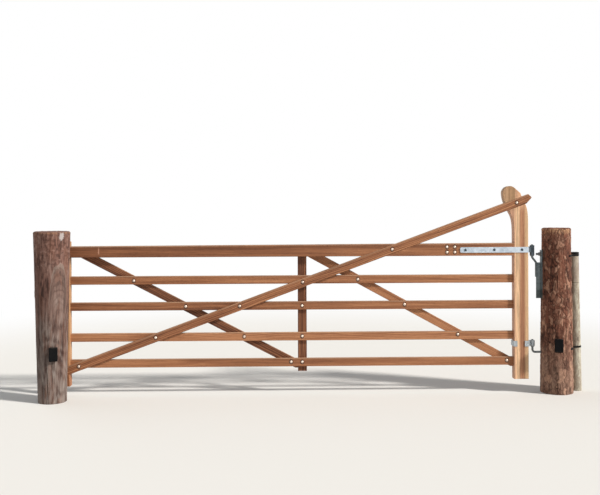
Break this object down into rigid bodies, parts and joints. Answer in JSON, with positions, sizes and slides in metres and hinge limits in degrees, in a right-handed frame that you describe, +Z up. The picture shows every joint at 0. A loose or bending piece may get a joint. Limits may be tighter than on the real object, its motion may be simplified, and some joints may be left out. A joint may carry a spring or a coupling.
{
  "type": "five-bar field gate with posts",
  "caption": "Wide timber field gate with a swept heel and diagonal braces, hung on one round post and shut against another.",
  "frame": {"origin": "centre of the hanging post's foot, at ground level", "axes": "+Z up, -Y towards the front of the gate, -X along the leaf towards the shutting post"},
  "size_m": [4.9128, 0.526, 1.8717],
  "materials": {
    "gate_hardwood": "oiled, weathering",
    "post_timber_left": "rough, weathered",
    "post_timber_right": "rough, flaking",
    "galvanised_iron": "hot-dip galvanised",
    "black_plastic": "matt",
    "grey_plastic": "weathered"
  },
  "bodies": {
    "posts": {"hanging_post": "post_timber_right", "shutting_post": "post_timber_left", "top_hook": "galvanised_iron", "top_hook_bolt": "galvanised_iron", "bottom_hook": "galvanised_iron", "left_post_box": "black_plastic", "right_post_box": "black_plastic", "side_pipe": "grey_plastic", "side_pipe_cap": "black_plastic", "side_pipe_clip_top": "black_plastic", "side_pipe_clip_low": "black_plastic"},
    "gate_leaf": {"heel_stile": "gate_hardwood", "head_stile": "gate_hardwood", "top_rail": "gate_hardwood", "rail_2": "gate_hardwood", "rail_3": "gate_hardwood", "rail_4": "gate_hardwood", "rail_5": "gate_hardwood", "centre_stile": "gate_hardwood", "long_brace": "gate_hardwood", "left_back_brace": "gate_hardwood", "right_back_brace": "gate_hardwood", "top_band": "galvanised_iron", "bottom_clasp": "galvanised_iron"}
  },
  "joints": [
    {"name": "gate_swing", "type": "hinge", "parent": "posts", "child": "gate_leaf", "pos_m": [-0.221, 0, 1.295], "axis": [0, 0, -1], "range_deg": [0, 90]}
  ]
}
